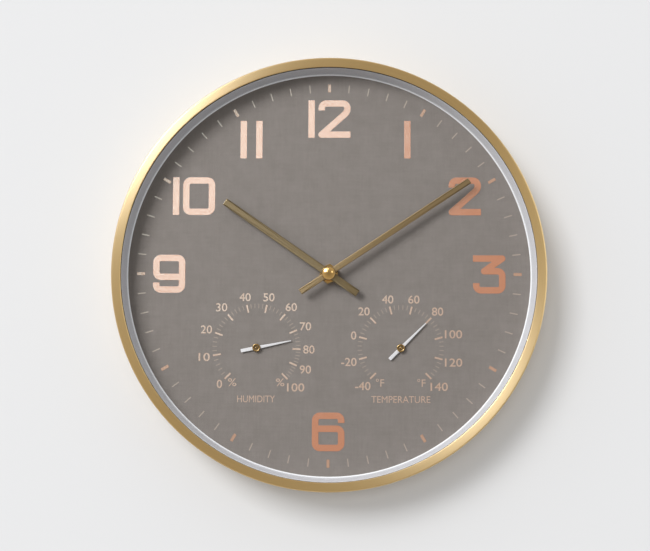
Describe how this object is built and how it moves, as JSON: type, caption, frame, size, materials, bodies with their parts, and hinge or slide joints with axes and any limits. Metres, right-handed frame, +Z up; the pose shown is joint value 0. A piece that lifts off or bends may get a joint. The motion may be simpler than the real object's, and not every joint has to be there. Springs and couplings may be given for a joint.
{
  "type": "wall clock with thermometer and humidity gauge",
  "caption": "Round wall clock in a gold metal case under flat glass, with raised numerals, strip hands, a humidity gauge and a thermometer on its dial, run by a quartz movement.",
  "frame": {"origin": "the axis of the hands where it meets the plane of the wall behind the clock", "axes": "+Z up, +X to the viewer's right, +Y into the wall; the dial faces -Y"},
  "size_m": [0.3556, 0.044, 0.3556],
  "materials": {
    "gold_metal": "spun and circular-brushed, gold coloured",
    "inner_ring": "satin silver",
    "glass": "clear, flat",
    "seal_foam": "matt",
    "dial_board": "grained, warm grey",
    "foil": "hot-stamped rose gold foil",
    "hand_metal": "satin, pale gold",
    "brass": "polished",
    "needle_paint": "satin off-white",
    "bimetal": "rolled strip",
    "gauge_plastic": "moulded",
    "cover_plastic": "fine grain, moulded",
    "movement_plastic": "moulded",
    "plate_plastic": "moulded",
    "gear_plastic": "moulded, natural",
    "steel": "zinc plated",
    "nickel_contact": "nickel plated",
    "magnet": "sintered",
    "copper_wire": "enamelled copper wire",
    "board": "phenolic board",
    "potting": "black resin",
    "battery_jacket": "plain wrapped steel can"
  },
  "bodies": {
    "case": {"case_ring": "gold_metal", "case_lugs": "gold_metal", "glass_lens": "glass", "lens_seal": "seal_foam", "inner_ring": "inner_ring", "dial_plate": "dial_board", "hour_marks": "foil", "minute_marks": "foil", "dial_numerals": "foil", "humidity_scale": "foil", "temperature_scale": "foil", "back_cover": "cover_plastic", "dial_spacer": "cover_plastic", "cover_screws": "steel", "hanger_plate": "steel", "hanger_screws": "steel", "movement_case": "movement_plastic", "movement_cover": "movement_plastic", "middle_plate": "plate_plastic", "dial_gasket": "seal_foam", "threaded_bushing": "brass", "fixing_washer": "brass", "hex_nut": "brass", "stator": "steel", "coil_core": "steel", "coil_bobbin": "plate_plastic", "coil_winding": "copper_wire", "circuit_board": "board", "potted_chip": "potting", "quartz_crystal": "nickel_contact", "aa_battery": "battery_jacket", "positive_contact": "nickel_contact", "negative_contact": "nickel_contact", "humidity_housing": "gauge_plastic", "humidity_bridge": "steel", "humidity_coil": "bimetal", "temperature_housing": "gauge_plastic", "temperature_bridge": "steel", "temperature_coil": "bimetal"},
    "minute_assembly": {"cannon_pinion": "brass", "minute_hand": "hand_metal", "cap_nut": "brass"},
    "hour_assembly": {"hour_wheel": "gear_plastic", "hour_hand": "hand_metal"},
    "motion_wheel": {"motion_wheel": "gear_plastic"},
    "setting_knob": {"setting_knob": "gear_plastic"},
    "centre_wheel": {"centre_wheel": "gear_plastic"},
    "third_wheel": {"third_wheel": "gear_plastic"},
    "second_wheel": {"second_wheel": "gear_plastic"},
    "intermediate_wheel": {"intermediate_wheel": "gear_plastic"},
    "rotor": {"rotor_pinion": "gear_plastic", "rotor_magnet": "magnet"},
    "humidity_pointer": {"humidity_arbor": "steel", "humidity_needle": "needle_paint", "humidity_needle_cap": "brass"},
    "temperature_pointer": {"temperature_arbor": "steel", "temperature_needle": "needle_paint", "temperature_needle_cap": "brass"}
  },
  "joints": [
    {"name": "minute_turn", "type": "hinge", "parent": "case", "child": "minute_assembly", "pos_m": [0, -0.035, 0], "axis": [0, 1, 0], "continuous": true},
    {"name": "hour_turn", "type": "hinge", "parent": "case", "child": "hour_assembly", "pos_m": [0, -0.032, 0], "axis": [0, 1, 0], "continuous": true},
    {"name": "motion_turn", "type": "hinge", "parent": "case", "child": "motion_wheel", "pos_m": [0.00114, -0.021, 0.00893], "axis": [0, 1, 0], "continuous": true},
    {"name": "setting_turn", "type": "hinge", "parent": "case", "child": "setting_knob", "pos_m": [0.00551, -0.008, 0.0168], "axis": [0, 1, 0], "continuous": true},
    {"name": "rotor_turn", "type": "hinge", "parent": "case", "child": "rotor", "pos_m": [-0.01167, -0.015, 0.01231], "axis": [0, 1, 0], "continuous": true},
    {"name": "intermediate_turn", "type": "hinge", "parent": "case", "child": "intermediate_wheel", "pos_m": [-0.01015, -0.015, 0.00369], "axis": [0, 1, 0], "continuous": true},
    {"name": "second_turn", "type": "hinge", "parent": "case", "child": "second_wheel", "pos_m": [0, -0.013, 0], "axis": [0, 1, 0], "continuous": true},
    {"name": "third_turn", "type": "hinge", "parent": "case", "child": "third_wheel", "pos_m": [0.00935, -0.015, 0.0054], "axis": [0, 1, 0], "continuous": true},
    {"name": "centre_wheel_turn", "type": "hinge", "parent": "case", "child": "centre_wheel", "pos_m": [0, -0.017, 0], "axis": [0, 1, 0], "continuous": true},
    {"name": "humidity_needle_turn", "type": "hinge", "parent": "case", "child": "humidity_pointer", "pos_m": [-0.05925, -0.029, -0.0609], "axis": [0, 1, 0], "range_deg": [-213, 56.5], "stiffness_Nm_per_rad": 0.0005, "deforming": ["humidity_coil"]},
    {"name": "temperature_needle_turn", "type": "hinge", "parent": "case", "child": "temperature_pointer", "pos_m": [0.05925, -0.029, -0.0609], "axis": [0, 1, 0], "range_deg": [-180, 90], "stiffness_Nm_per_rad": 0.0005, "deforming": ["temperature_coil"]}
  ],
  "couplings": [
    {"joint": "hour_turn", "follows": "minute_turn", "ratio": 0.083333},
    {"joint": "motion_turn", "follows": "minute_turn", "ratio": -0.33333},
    {"joint": "setting_turn", "follows": "minute_turn", "ratio": 1},
    {"joint": "intermediate_turn", "follows": "rotor_turn", "ratio": -0.16667},
    {"joint": "second_turn", "follows": "rotor_turn", "ratio": 0.033333},
    {"joint": "third_turn", "follows": "rotor_turn", "ratio": -0.0044444},
    {"joint": "centre_wheel_turn", "follows": "rotor_turn", "ratio": 0.00055556}
  ]
}
